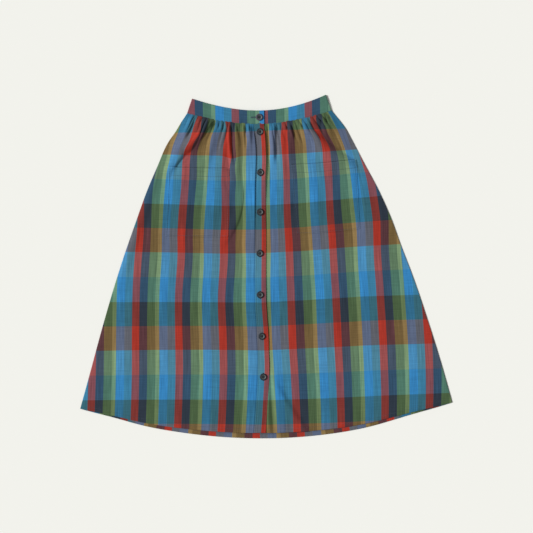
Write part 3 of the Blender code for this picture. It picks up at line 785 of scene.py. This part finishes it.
# share up the band and distance out from its middle, from its inner face over the top edge
BAND_OUTLINE = (
    (0.003, -0.1), (0.006, -0.35), (0.02, -0.5), (0.5, -0.5), (0.97, -0.5), (0.992, -0.36),
    (1.0, 0.0), (0.994, 0.36), (0.98, 0.5), (0.955, 0.5), (0.94, 0.32), (0.925, 0.5),
    (0.9, 0.53), (0.75, 0.6), (0.5, 0.62), (0.25, 0.6), (0.1, 0.53), (0.075, 0.5),
    (0.06, 0.32), (0.045, 0.5), (0.02, 0.5), (0.006, 0.35), (0.003, 0.1),
)


def band_path(height):
    """x, z, and how far back the band is, along its middle: over the front, round, and back."""
    half = BAND_HALF_WIDTH[0] + (BAND_HALF_WIDTH[1] - BAND_HALF_WIDTH[0]) * height
    flat = half - BAND_TURN_WIDTH - 0.6
    low, high, over = BAND_LEVELS
    angle = np.linspace(0, math.pi, 12)[1:-1]
    lap = BAND_LAP[0] - np.array([0, 0.1, 0.35, 0.7])
    first = np.concatenate([lap, np.linspace(BAND_LAP[0] - 2, BAND_RAMP[0], 16)])
    ramp = np.linspace(BAND_RAMP[0], BAND_RAMP[1], 12)[1:-1]
    left = np.linspace(BAND_RAMP[1], -flat, 80)
    back = np.linspace(-flat, flat, 90)
    right = np.linspace(flat, BAND_LAP[1], 110)
    turn_x = flat + BAND_TURN_WIDTH * np.sin(angle)
    xs = [first, ramp, left, -turn_x, back, turn_x[::-1], right]
    turn_z = low + BAND_TURN + BAND_TURN * np.cos(angle)
    zs = [
        over + 0 * first,
        high + (over - high) * (1 - ease(-ramp, -BAND_RAMP[0], -BAND_RAMP[1])),
        high + 0 * left,
        turn_z,
        low + 0 * back,
        turn_z[::-1],
        high + 0 * right,
    ]
    going, coming = (1 - np.cos(angle)) / 2, (1 + np.cos(angle)) / 2
    behind = [0 * first, 0 * ramp, 0 * left, going, 1 + 0 * back, coming, 0 * right]
    parts = [part + 0 * xs[part] for part in range(STRETCHES)]
    return np.concatenate(xs), np.concatenate(zs), np.concatenate(behind), np.concatenate(parts), half


def band_surface(height, out):
    """Points and weave of the band's face, a share up it and a distance out of its middle."""
    x, z, behind, part, half = band_path(height)
    dx, dz = np.gradient(x), np.gradient(z)
    size = np.maximum(np.hypot(dx, dz), 1e-9)
    reach = np.minimum(np.abs(x) / half, 1) ** 2
    lower = FRONT_SEAM_Y + (SIDE_SEAM_Y - FRONT_SEAM_Y) * reach
    upper_reach = np.minimum(np.abs(x) / half, 1) ** np.where(x < 0, 1.8, 2.0)
    upper = BAND_TOP_Y + (BAND_TOP_SIDE_Y + np.where(x < 0, -2, 2) - BAND_TOP_Y) * upper_reach
    drop = (FRONT_SEAM_Y - BACK_SEAM_Y) * (1 - reach) * behind
    wave = 0.25 * ripple(x / 8, part, 61) * (1 - height) ** 2 * (1 - behind)
    y = lower + (upper - lower) * height - drop + 0.5 * wave
    ends = np.sqrt(1 - (1 - ease(np.abs(x - BAND_LAP[0]) + 0.02 + 9 * (part > 0), 0, 0.7)) ** 2)
    points = np.stack([x + dz / size * out * ends, y, z - dx / size * out * ends + wave], -1)
    run = np.concatenate([[0], np.cumsum(np.hypot(np.diff(x), np.diff(z)))])
    round_back = run[part == ROUND_BACK]
    left = (x - BAND_RED_X[0]) / WARP_REPEAT
    right = (x - BAND_RED_X[1]) / WARP_REPEAT
    edges = [round_back[0] - 1.6, round_back[-1] + 1.6]
    edge_cloth = [left[part == LEFT_TURN][-1], right[part == RIGHT_TURN][0] - BAND_BACK_REPEATS]
    back = np.interp(run, edges, edge_cloth)
    u = np.where(part < ROUND_BACK, left, np.where(part == ROUND_BACK, back, right - BAND_BACK_REPEATS))
    v = BAND_WEFT[0] - BAND_WEFT[1] * height + 0 * u
    return points, np.stack([u, v], -1)


outline = [band_surface(height, out) for height, out in BAND_OUTLINE]
x, y, z = np.stack([points for points, _ in outline], 1).transpose(2, 0, 1)
u, v = np.stack([uv for _, uv in outline], 1).transpose(2, 0, 1)
waistband = add_cloth("waistband_cloth", x, y, z, u, v, cotton)
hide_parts("waistband")


# Patch pockets.

# inner x, inner y, outer x, outer y
POCKET_RIGHT = (RIGHT_MOUTH, (-81, 494, -234, 498))
POCKET_LEFT = (LEFT_MOUTH, (86, 498, 242, 508))
POCKET_CLOTH = 0.7
POCKET_STITCH = 3.0
POCKET_BULGE = 0.7
POCKET_GROOVE = 0.36
POCKET_EDGE_TURN = 0.45
MOUTH_HEM_GROOVE = 0.2
MOUTH_HEM_STEP = 0.3
MOUTH_SPRING = 1.2
MOUTH_HEM = 20.0


def share_down(side, x, y):
    """How far down a front the points at x and y are."""
    t = (FRONT_SEAM_Y - y) / FRONT_LENGTH
    for _ in range(12):
        t = t + (lay_out(side, x, t, FRONT_SEAM_Y, FRONT_HEM_Y) - y) / FRONT_LENGTH
    return t


def pocket_size(corners):
    """Width and depth of a pocket, from its corners."""
    top, bottom = corners
    return abs(top[2] - top[0]), top[1] - bottom[1]


def pocket_surface(side, corners, across, below):
    """Points and weave of a pocket, mm across from its inner side and mm below its mouth."""
    top, bottom = corners
    width, depth = pocket_size(corners)
    a, b = across / width, below / depth
    upper_x, lower_x = top[0] + (top[2] - top[0]) * a, bottom[0] + (bottom[2] - bottom[0]) * a
    upper_y, lower_y = top[1] + (top[3] - top[1]) * a ** 2, bottom[1] + (bottom[3] - bottom[1]) * a ** 2
    x, y = upper_x + (lower_x - upper_x) * b, upper_y + (lower_y - upper_y) * b
    _, z, u, v = front_surface(side, x, share_down(side, x, y))
    edge = np.minimum(np.minimum(across, width - across), depth - below)
    groove = POCKET_GROOVE * np.exp(-((edge - POCKET_STITCH) / 0.8) ** 2)
    groove = groove + MOUTH_HEM_GROOVE * np.exp(-((below - MOUTH_HEM) / 0.9) ** 2)
    bulge = POCKET_BULGE * ease(edge, 3, 30) + 0.15 * ripple(across / 13, below / 40, 71 + side)
    sides = np.minimum(across, width - across)
    mouth = MOUTH_SPRING * np.exp(-(below / 8) ** 2) * ease(sides + 0 * below, 0, 14)
    mouth = mouth + MOUTH_HEM_STEP * (1 - ease(below, MOUTH_HEM - 1, MOUTH_HEM))
    turned = POCKET_EDGE_TURN * (1 - ease(np.minimum(edge, below), -0.6, 1.0))
    z = z + CLOTH / 2 + POCKET_CLOTH / 2 + bulge * ease(edge, 0, 3) + mouth - groove - turned
    return x, y, z, u, v


def add_pocket(name, side, corners):
    """A pocket: a slab of turned cloth on the front, its points close at the edges."""
    width, depth = pocket_size(corners)
    near = np.array([0, 0.3, 0.8, 1.4, 2.0, 2.6, 3.2, 3.8, 4.6, 6.0])
    across = np.concatenate([near, np.linspace(7.5, width - 7.5, 62), width - near[::-1]])[None, :]
    hem = MOUTH_HEM + np.array([-2, -1, -0.4, 0.2, 0.8, 1.6])
    top = [0, 0.3, 0.8, 1.6, 3.0, 5.0, 8.0, 12.0, 15.5]
    below = np.concatenate([top, hem, np.linspace(24, depth - 7.5, 56), depth - near[::-1]])[:, None]
    across = across[:, ::-1] if side < 0 else across
    grid = pocket_surface(side, corners, across + 0 * below, below + 0 * across)
    return add_cloth(name, *grid, cotton, POCKET_CLOTH)


pocket_right = add_pocket("pocket_right_cloth", -1, POCKET_RIGHT)
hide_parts("pocket_right")
pocket_left = add_pocket("pocket_left_cloth", 1, POCKET_LEFT)
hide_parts("pocket_left")


# Topstitching. Dark teal polyester thread in a running lockstitch along the pockets,
# the placket, the waistband and both hems, each stitch sunk a little in the cloth.

STITCH_PITCH = 3.0
STITCH_LENGTH = 2.4
THREAD_RADIUS = 0.2
POCKET_THREAD_RADIUS = 0.3
THREAD_RISE = 0.05
HEM_STITCH = 9.0
# share along the stitch from its middle, and share of the thread's radius
STITCH_SHAPE = ((-0.5, 0.3), (-0.32, 1.0), (0.32, 1.0), (0.5, 0.3))


def thread(name, colour, roughness):
    """Twisted polyester thread: a fine twist as bump, with a slight gloss."""
    made, tree, shader = new_material(name)
    place = add_node(tree, "TexCoord")
    noise = {"Vector": place.outputs["Object"], "Scale": 2200.0, "Detail": 2.0}
    twist = add_node(tree, "TexNoise", inputs=noise)
    tone = add_node(tree, "MapRange", inputs={"Value": twist.outputs["Fac"], "To Min": 0.75, "To Max": 1.25})
    toned = {0: linear(colour)[:3], "Scale": tone.outputs[0]}
    base = add_node(tree, "VectorMath", {"operation": "SCALE"}, toned)
    tree.links.new(base.outputs[0], shader.inputs["Base Color"])
    proud = {"Height": twist.outputs["Fac"], "Strength": 0.4, "Distance": 0.0001}
    bump = add_node(tree, "Bump", inputs=proud)
    tree.links.new(bump.outputs["Normal"], shader.inputs["Normal"])
    shader.inputs["Roughness"].default_value = roughness
    shader.inputs["Sheen Weight"].default_value = 0.15
    return made


def add_stitches(name, paths, material, radius=THREAD_RADIUS):
    """Stitches along paths of points in mm: each a short spindle laid along the path."""
    centres, runs = [], []
    for path in paths:
        path = np.stack(np.broadcast_arrays(*path), -1).reshape(-1, 3)
        length = np.append(0, np.cumsum(np.linalg.norm(np.diff(path, axis=0), axis=1)))
        places = np.arange(STITCH_PITCH / 2, length[-1], STITCH_PITCH)
        here, ahead = (
            np.stack([np.interp(places + step, length, path[:, k]) for k in range(3)], -1)
            for step in (-0.4, 0.4)
        )
        centres.append((here + ahead) / 2)
        runs.append((ahead - here) / np.maximum(np.linalg.norm(ahead - here, axis=1, keepdims=True), 1e-9))
    centres, runs = np.concatenate(centres)[:, None, None], np.concatenate(runs)[:, None, None]
    aside = np.cross(runs, (0, 0, 1.0))
    rise = np.cross(aside, runs)
    shape = np.array(STITCH_SHAPE)[None, :, None, :]
    angle = np.linspace(0, 2 * math.pi, 7)[:-1][None, None, :, None]
    rings = centres + runs * shape[..., :1] * STITCH_LENGTH
    rings = rings + radius * shape[..., 1:] * (aside * np.cos(angle) + rise * np.sin(angle))
    one = grid_faces(4, 6, closed=True).tolist() + [list(range(6)), list(reversed(range(18, 24)))]
    faces = [[24 * k + corner for corner in face] for k in range(len(rings)) for face in one]
    return add_mesh(name, rings, faces, material)


topstitch = thread("polyester_thread", "#2B4350", 0.55)

rows = []
for side in (-1, 1):
    t = np.full(400, 1 - HEM_STITCH / FRONT_LENGTH)
    inner = front_inner(side, t * FRONT_LENGTH)
    x = inner + (side * half_width(side, t) - inner) * np.linspace(0.01, 0.985, 400)
    y, z, _, _ = front_surface(side, x, t)
    rows.append((x, y, z + CLOTH / 2 + THREAD_RISE))
front_hem_stitches = add_stitches("front_hem_stitches", rows, topstitch)

t = np.full(800, 1 - HEM_STITCH / (BACK_SEAM_Y - BACK_HEM_Y))
x, y, z, _, _ = back_surface(np.linspace(0.01, 0.99, 800), t)
rows = [(x, y, z + 2 * HEM_BEND + CLOTH / 2 + THREAD_RISE)]
back_hem_stitches = add_stitches("back_hem_stitches", rows, topstitch)

rows = []
for side, corners in ((-1, POCKET_RIGHT), (1, POCKET_LEFT)):
    width, depth = pocket_size(corners)
    run_down = np.linspace(0, depth - POCKET_STITCH, 120)
    run_across = np.linspace(POCKET_STITCH, width - POCKET_STITCH, 120)
    lines = (
        (POCKET_STITCH + 0 * run_down, run_down),
        (run_across, depth - POCKET_STITCH + 0 * run_across),
        (width - POCKET_STITCH + 0 * run_down, run_down),
        (run_across, MOUTH_HEM + 0 * run_across),
    )
    for across, below in lines:
        x, y, z, _, _ = pocket_surface(side, corners, across, below)
        rows.append((x, y, z + POCKET_CLOTH / 2 + THREAD_RISE))
pocket_stitches = add_stitches("pocket_stitches", rows, topstitch, POCKET_THREAD_RADIUS)

rows = []
down = np.linspace(3, FRONT_LENGTH - 2, 400)
for share in PLACKET_STITCHES:
    left, right = through(PLACKET, 1, down), through(PLACKET, 2, down)
    x = left + (right - left) * share
    y = lay_out(1, x, down / FRONT_LENGTH, FRONT_SEAM_Y, FRONT_HEM_Y)
    rows.append((x, y, placket_height(down, share) + PLACKET_GROOVE * PLACKET_THICKNESS + CLOTH))
placket_stitches = add_stitches("placket_stitches", rows, topstitch)

rows = []
for height in BAND_STITCHES:
    points, _ = band_surface(height, BAND_GROOVE + CLOTH / 2)
    rows.append(tuple(points[3:].T))
band_stitches = add_stitches("band_stitches", rows, topstitch)


# Buttonholes. Satin-stitched ovals in the same thread: level on the waistband,
# upright on the placket, where each button covers all but its ends.

BUTTONHOLE = (19.0, 2.0)
BAND_BUTTONHOLE_X = -11.0
# the bead's half width and the depth of its ribs, and how many ribs go round it
BEAD = (0.62, 0.1)
BEAD_RIBS = 120
# down from the waist seam, and how far each button sits right of the placket's middle
BUTTONS = (
    (19, 0.8), (118.5, -1.3), (215.5, -1.2), (316.5, -2.2), (418, -0.9), (519.5, -2.3), (619, -0.5),
)


def add_buttonhole(name, x, y, z, upright):
    """A ribbed bead of thread round an oval slit, its path a straight-sided ring."""
    half, radius = BUTTONHOLE[0] / 2 - BUTTONHOLE[1] / 2, BUTTONHOLE[1] / 2
    run = np.linspace(0, 4 * half + 2 * math.pi * radius, 241)[:-1]
    first, second = 2 * half, 2 * half + math.pi * radius
    third = 2 * second - first
    turn_1, turn_2 = (run - first) / radius, (run - third) / radius
    along = np.select(
        [run < first, run < second, run < third],
        [run - half, half + radius * np.sin(turn_1), half - (run - second)],
        -half + -radius * np.sin(turn_2),
    )
    aside = np.select(
        [run < first, run < second, run < third],
        [-radius + 0 * run, -radius * np.cos(turn_1), radius + 0 * run],
        radius * np.cos(turn_2),
    )
    centre = np.stack([along, aside, 0 * run], -1)
    ahead = np.roll(centre, -1, 0) - np.roll(centre, 1, 0)
    ahead = ahead / np.linalg.norm(ahead, axis=1, keepdims=True)
    out = np.cross(ahead, (0, 0, 1.0))
    angle = np.linspace(0, 2 * math.pi, 9)[:-1][None, :, None]
    ribs = np.cos(run * 2 * math.pi * BEAD_RIBS / (run[-1] + run[1]))
    thick = (BEAD[0] + BEAD[1] * ribs)[:, None, None]
    rise = np.array((0, 0, 0.45)) * np.sin(angle)
    ring = centre[:, None] + thick * (out[:, None] * 1.25 * np.cos(angle) + rise)
    if upright:
        ring = ring[..., [1, 0, 2]] * (-1, 1, 1)
    faces = grid_faces(len(run) + 1, 8, closed=True) % (len(run) * 8)
    return add_mesh(name, ring + (x, y, z), faces.tolist(), topstitch)


button_places = [(0.0, (FRONT_SEAM_Y + BAND_TOP_Y) / 2, BAND_LEVELS[2] + 0.8)]
for down, aside in BUTTONS:
    middle = (through(PLACKET, 1, down) + through(PLACKET, 2, down)) / 2 + aside
    face = float(placket_height(down, 0.5)) + PLACKET_CREST * PLACKET_THICKNESS + CLOTH
    button_places.append((float(middle), FRONT_SEAM_Y - down, face))

for number, (x, y, z) in enumerate(button_places, 1):
    x = x if number > 1 else BAND_BUTTONHOLE_X
    add_buttonhole("buttonhole_%d" % number, x, y, z + THREAD_RISE, upright=number > 1)


# Buttons. Turned 17 mm plastic with a raised rim, a dished face and four holes, dark
# navy or browner on the waistband, with a dark centre and a painted highlight, a paler
# ring on the dish's rising wall. Each is sewn on by two level bars of dark blue-grey thread.

BUTTON_PROFILE = (
    (0, 1.45), (3.2, 1.45), (4.0, 1.55), (4.9, 1.8), (5.6, 2.25), (6.2, 2.55), (6.9, 2.68),
    (7.6, 2.55), (8.15, 2.15), (8.45, 1.6), (8.5, 1.1), (8.2, 0.5), (7.4, 0.1), (6.0, 0.0), (0, 0),
)
HOLE_OFFSET = 1.65
HOLE_RADIUS = 0.85
HOLE_SIDES = 16
HOLE_LEVELS = (-1.0, 4.0)
BUTTON_STEPS = 64
MERGE_DISTANCE = 0.00005
BUTTON_LIFT = 0.15
BUTTON_TURN = 14
BUTTON_TINTS = ("#463E50", "#1C202A")
# paler grey-green of a painted highlight, a ring on the dish's rising wall
RING_HIGHLIGHT_TINT = "#46504F"
CENTRE_TINT = "#14171C"
BAR_RADIUS = 0.24
BAR_HEIGHT = 1.75
BAR_BOW = 0.1
BAR_PLUNGE = 2.2
# how far each of a bar's three threads lies from its middle, and above its lowest
BAR_THREADS = ((-0.36, 0.0), (0.0, 0.16), (0.36, 0.02))


def button_plastic(name, rim):
    """Plastic with a painted highlight: a paler grey-green ring on the dish's wall. The map's U is the
    radius, 10 mm to 1.
    """
    made, tree, shader = new_material(name)
    place = add_node(tree, "UVMap", {"uv_map": "turned"})
    radius = add_node(tree, "SeparateXYZ", inputs={0: place.outputs["UV"]})
    ramp = add_node(tree, "ValToRGB", inputs={"Fac": radius.outputs["X"]})
    # between the dark centre and the rim's colour lies a painted highlight: a paler ring on the dish's
    # rising wall
    rings = ((0.0, CENTRE_TINT), (0.3, CENTRE_TINT), (0.44, RING_HIGHLIGHT_TINT), (0.54, RING_HIGHLIGHT_TINT), (0.64, rim))
    while len(ramp.color_ramp.elements) < len(rings):
        ramp.color_ramp.elements.new(0.5)
    for element, (at, colour) in zip(ramp.color_ramp.elements, rings):
        element.position = at
        element.color = linear(colour)
    cloud = add_node(tree, "TexNoise", inputs={"Vector": place.outputs["UV"], "Scale": 5.0, "Detail": 3.0})
    tone = add_node(tree, "MapRange", inputs={"Value": cloud.outputs["Fac"], "To Min": 0.7, "To Max": 1.3})
    toned = {0: ramp.outputs["Color"], "Scale": tone.outputs[0]}
    base = add_node(tree, "VectorMath", {"operation": "SCALE"}, toned)
    tree.links.new(base.outputs[0], shader.inputs["Base Color"])
    shader.inputs["Roughness"].default_value = 0.5
    shader.inputs["Specular IOR Level"].default_value = 0.3
    return made


def turned_button():
    """Points and faces of one button: its profile turned, with four holes cut through."""
    profile = bpy.data.meshes.new("button_profile")
    corners = [(r, 0, h) for r, h in BUTTON_PROFILE]
    profile.from_pydata(corners, [(k, k + 1) for k in range(len(corners) - 1)], [])
    turned = new_object("button_profile", profile)
    turn = turned.modifiers.new("turned", "SCREW")
    turn.angle = 2 * math.pi
    turn.steps = turn.render_steps = BUTTON_STEPS
    turn.use_merge_vertices = True
    turn.merge_threshold = MERGE_DISTANCE
    angle = np.linspace(0, 2 * math.pi, HOLE_SIDES + 1)[:-1]
    points, faces = [], []
    for px in (-HOLE_OFFSET, HOLE_OFFSET):
        for py in (-HOLE_OFFSET, HOLE_OFFSET):
            low = [len(points) + k for k in range(HOLE_SIDES)]
            high = [corner + HOLE_SIDES for corner in low]
            rim = [(px + HOLE_RADIUS * math.cos(a), py + HOLE_RADIUS * math.sin(a)) for a in angle]
            points += [(*corner, level) for level in HOLE_LEVELS for corner in rim]
            faces += [low[::-1], high]
            faces += [list(wall) for wall in zip(low, low[1:] + low[:1], high[1:] + high[:1], high)]
    pins = bpy.data.meshes.new("thread_holes")
    pins.from_pydata(points, [], faces)
    cutter = new_object("thread_holes", pins)
    holes = turned.modifiers.new("thread holes", "BOOLEAN")
    holes.operation = "DIFFERENCE"
    holes.solver = "EXACT"
    holes.object = cutter
    bpy.context.view_layer.update()
    mesh = turned.evaluated_get(bpy.context.evaluated_depsgraph_get()).to_mesh()
    shape = np.array([vertex.co for vertex in mesh.vertices])
    sides = [list(polygon.vertices) for polygon in mesh.polygons]
    for helper in (turned, cutter):
        bpy.data.objects.remove(helper, do_unlink=True)
    return shape, sides


def spun(points, angle):
    """Points turned by an angle about the upright axis."""
    cos, sin = math.cos(angle), math.sin(angle)
    return points @ np.array(((cos, -sin, 0), (sin, cos, 0), (0, 0, 1))).T


def add_bars(name, x, y, z, angle, material):
    """Two bars of three threads each, from hole to hole over a button's face."""
    run = np.linspace(-1, 1, 11)
    arch = BAR_HEIGHT + BAR_BOW * (1 - run ** 2) - BAR_PLUNGE * np.abs(run) ** 9
    bow = np.stack([run * (HOLE_OFFSET + 0.15), 0 * run, arch], -1)
    ahead = np.gradient(bow, axis=0)
    ahead = ahead / np.linalg.norm(ahead, axis=1, keepdims=True)
    out = np.cross(ahead, (0, 1.0, 0))
    turn = np.linspace(0, 2 * math.pi, 9)[:-1][None, :, None]
    tube = bow[:, None] + BAR_RADIUS * (np.array((0, 1.0, 0)) * np.cos(turn) + out[:, None] * np.sin(turn))
    one = grid_faces(11, 8, closed=True).tolist() + [list(range(8)), list(reversed(range(80, 88)))]
    points, faces = [], []
    for bar in (-HOLE_OFFSET, HOLE_OFFSET):
        for strand, lift in BAR_THREADS:
            faces += [[len(points) * 88 + corner for corner in face] for face in one]
            points.append(tube + (0, bar + strand, lift))
    points = np.concatenate(points).reshape(-1, 3)
    return add_mesh(name, spun(points, angle) + (x, y, z), faces, material)


button_shape, button_sides = turned_button()
button_radius = np.hypot(button_shape[:, 0], button_shape[:, 1])
button_uv = np.stack([button_radius / 10, np.arctan2(button_shape[:, 1], button_shape[:, 0]) / math.pi], -1)
turned_by = np.random.default_rng(81).uniform(-BUTTON_TURN, BUTTON_TURN, len(button_places))
button_turns = np.radians(turned_by)
band_plastic = button_plastic("button_plastic_brown", BUTTON_TINTS[0])
dark_plastic = button_plastic("button_plastic_navy", BUTTON_TINTS[1])
button_thread = thread("button_thread", "#2A323E", 0.6)
for number, ((x, y, z), angle) in enumerate(zip(button_places, button_turns), 1):
    points = spun(button_shape, angle) + (x, y, z + BUTTON_LIFT)
    plastic = band_plastic if number == 1 else dark_plastic
    button = add_mesh("turned_button_%d" % number, points, button_sides, plastic)
    corners = np.array([loop.vertex_index for loop in button.data.loops])
    button.data.uv_layers.new(name="turned").data.foreach_set("uv", button_uv[corners].ravel())
    button.data.set_sharp_from_angle(angle=math.radians(40))
    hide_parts("button_%d" % number)
    add_bars("button_bars_%d" % number, x, y, z + BUTTON_LIFT, angle, button_thread)


# Floor, light and camera. A pale paper surface under soft light from the upper left,
# with the camera straight above, as in the photograph.

FLOOR_REACH = 8
FLOOR_LEVEL = -0.0003
SUN_ENERGY = 4.1
SUN_SPREAD = 16
SUN_TURN = (56, 0, -101)
SKY_STRENGTH = 0.32
CAMERA_LENS = 100
CAMERA_PLACE = (0.0112, 0.42, 3.628)
CAMERA_TURN = -1.0

corner_signs = ((-1, -1), (1, -1), (1, 1), (-1, 1))
floor_corners = [(a * FLOOR_REACH, b * FLOOR_REACH, FLOOR_LEVEL) for a, b in corner_signs]
floor_mesh = bpy.data.meshes.new("floor")
floor_mesh.from_pydata(floor_corners, [], [(0, 1, 2, 3)])
floor = new_object("floor", floor_mesh)
paper, _, paper_face = new_material("pale_paper")
paper_face.inputs["Base Color"].default_value = linear("#EDEDE7")
paper_face.inputs["Roughness"].default_value = 0.95
paper_face.inputs["Specular IOR Level"].default_value = 0.0
floor_mesh.materials.append(paper)

window = new_object("window", bpy.data.lights.new("window", "SUN"))
window.data.energy = SUN_ENERGY
window.data.angle = math.radians(SUN_SPREAD)
window.rotation_euler = [math.radians(turn) for turn in SUN_TURN]

world = bpy.data.worlds.new("studio")
world.use_nodes = True
world.node_tree.nodes["Background"].inputs["Color"].default_value = (1, 1, 1, 1)
world.node_tree.nodes["Background"].inputs["Strength"].default_value = SKY_STRENGTH
bpy.context.scene.world = world
bpy.context.scene.view_settings.view_transform = "Standard"

camera = new_object("camera", bpy.data.cameras.new("camera"))
camera.data.lens = CAMERA_LENS
camera.data.sensor_width = 36
camera.data.clip_end = 30
camera.location = (BUTTON_LINE + CAMERA_PLACE[0], HEM_LINE + CAMERA_PLACE[1], CAMERA_PLACE[2])
camera.rotation_euler = (0, 0, math.radians(CAMERA_TURN))
bpy.context.scene.camera = camera
